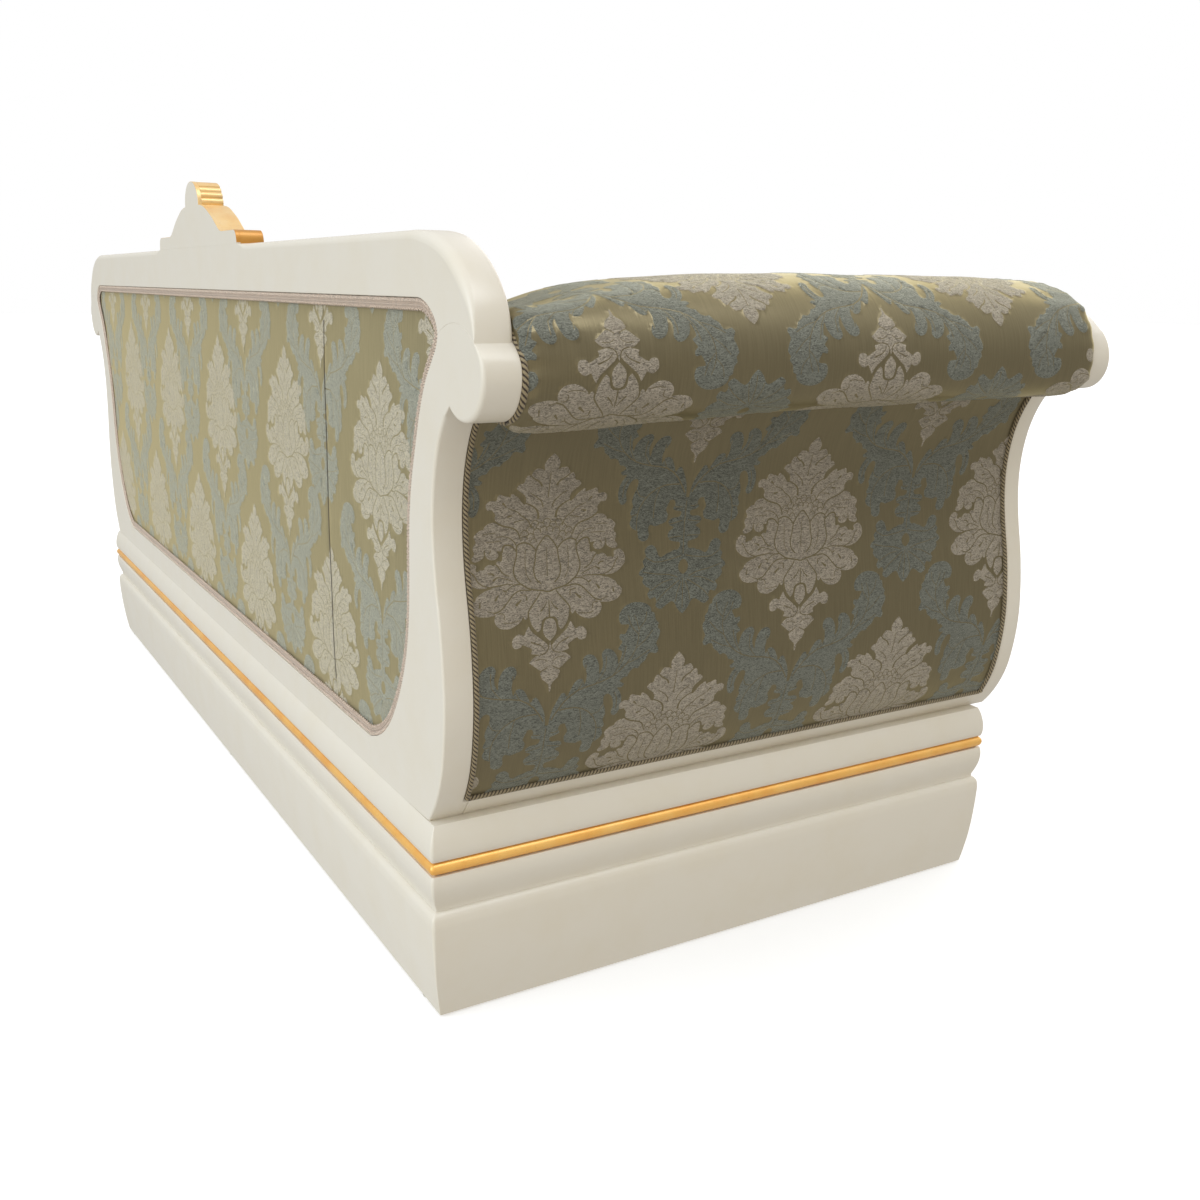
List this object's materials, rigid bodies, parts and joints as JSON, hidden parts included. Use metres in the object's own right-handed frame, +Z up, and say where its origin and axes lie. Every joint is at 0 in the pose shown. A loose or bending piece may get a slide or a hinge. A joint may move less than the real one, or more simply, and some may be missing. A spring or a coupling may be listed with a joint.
{
  "type": "three-seater sofa",
  "caption": "Classical sofa with scrolled ivory frame, gilded bead and crest, damask rolled arms, moulded plinth base and loose seat and back cushions.",
  "frame": {"origin": "on the floor, under the middle of the whole sofa", "axes": "+X along the length towards the sitter's left, +Y towards the back, +Z up"},
  "size_m": [2.162, 0.869, 0.966],
  "materials": {
    "ivory_lacquer": "satin ivory lacquer",
    "gilding": "satin gilding",
    "damask": "jacquard damask, satin ground",
    "twisted_cord": "twisted rayon cord",
    "braid": "woven braid",
    "foam": "foam in wadding",
    "felt": "needled felt",
    "black_cloth": "nonwoven dust cloth",
    "webbing": "jute webbing",
    "beech": "planed beech",
    "steel": "bright steel"
  },
  "bodies": {
    "frame": {"arm_cord_left": "twisted_cord", "arm_cord_right": "twisted_cord", "arm_facing_left": "ivory_lacquer", "arm_facing_right": "ivory_lacquer", "arm_roll_left": "damask", "arm_roll_right": "damask", "arm_top_rails": "beech", "back_bottom_rail": "ivory_lacquer", "back_gimp": "braid", "back_stile_left": "ivory_lacquer", "back_stile_right": "ivory_lacquer", "back_top_rail": "ivory_lacquer", "back_uprights": "beech", "back_webbing": "webbing", "base_moulding_back": "ivory_lacquer", "base_moulding_front": "ivory_lacquer", "base_moulding_left": "ivory_lacquer", "base_moulding_right": "ivory_lacquer", "corner_blocks": "beech", "crest_board": "ivory_lacquer", "crest_carving": "gilding", "crest_dowels": "beech", "cross_stretchers": "beech", "dust_cover": "black_cloth", "frame_screws": "steel", "front_border": "damask", "gilt_bead_back": "gilding", "gilt_bead_front": "gilding", "gilt_bead_left": "gilding", "gilt_bead_right": "gilding", "glides": "felt", "inside_arm_pad_left": "damask", "inside_arm_pad_right": "damask", "inside_back_pad": "damask", "outside_arm_panel_left": "damask", "outside_arm_panel_right": "damask", "outside_back_panel": "damask", "plinth_back": "ivory_lacquer", "plinth_front": "ivory_lacquer", "plinth_left": "ivory_lacquer", "plinth_right": "ivory_lacquer", "seat_deck": "felt", "seat_rail_back": "beech", "seat_rail_front": "beech", "seat_side_rails": "beech", "side_rail_left": "ivory_lacquer", "side_rail_right": "ivory_lacquer", "spring_clips": "steel", "zigzag_springs": "steel"},
    "seat_left": {"seat_cushion_left": "damask", "seat_core_left": "foam"},
    "rest_left": {"back_cushion_left": "damask"},
    "seat_centre": {"seat_cushion_centre": "damask", "seat_core_centre": "foam"},
    "rest_centre": {"back_cushion_centre": "damask"},
    "seat_right": {"seat_cushion_right": "damask", "seat_core_right": "foam"},
    "rest_right": {"back_cushion_right": "damask"}
  },
  "joints": [
    {"name": "seat_left_lift", "type": "slide", "parent": "frame", "child": "seat_left", "axis": [0, 0, 1], "range_m": [0, 0.5]},
    {"name": "seat_centre_lift", "type": "slide", "parent": "frame", "child": "seat_centre", "axis": [0, 0, 1], "range_m": [0, 0.5]},
    {"name": "seat_right_lift", "type": "slide", "parent": "frame", "child": "seat_right", "axis": [0, 0, 1], "range_m": [0, 0.5]},
    {"name": "rest_left_lift", "type": "slide", "parent": "frame", "child": "rest_left", "axis": [0, 0, 1], "range_m": [0, 0.6]},
    {"name": "rest_centre_lift", "type": "slide", "parent": "frame", "child": "rest_centre", "axis": [0, 0, 1], "range_m": [0, 0.6]},
    {"name": "rest_right_lift", "type": "slide", "parent": "frame", "child": "rest_right", "axis": [0, 0, 1], "range_m": [0, 0.6]}
  ]
}
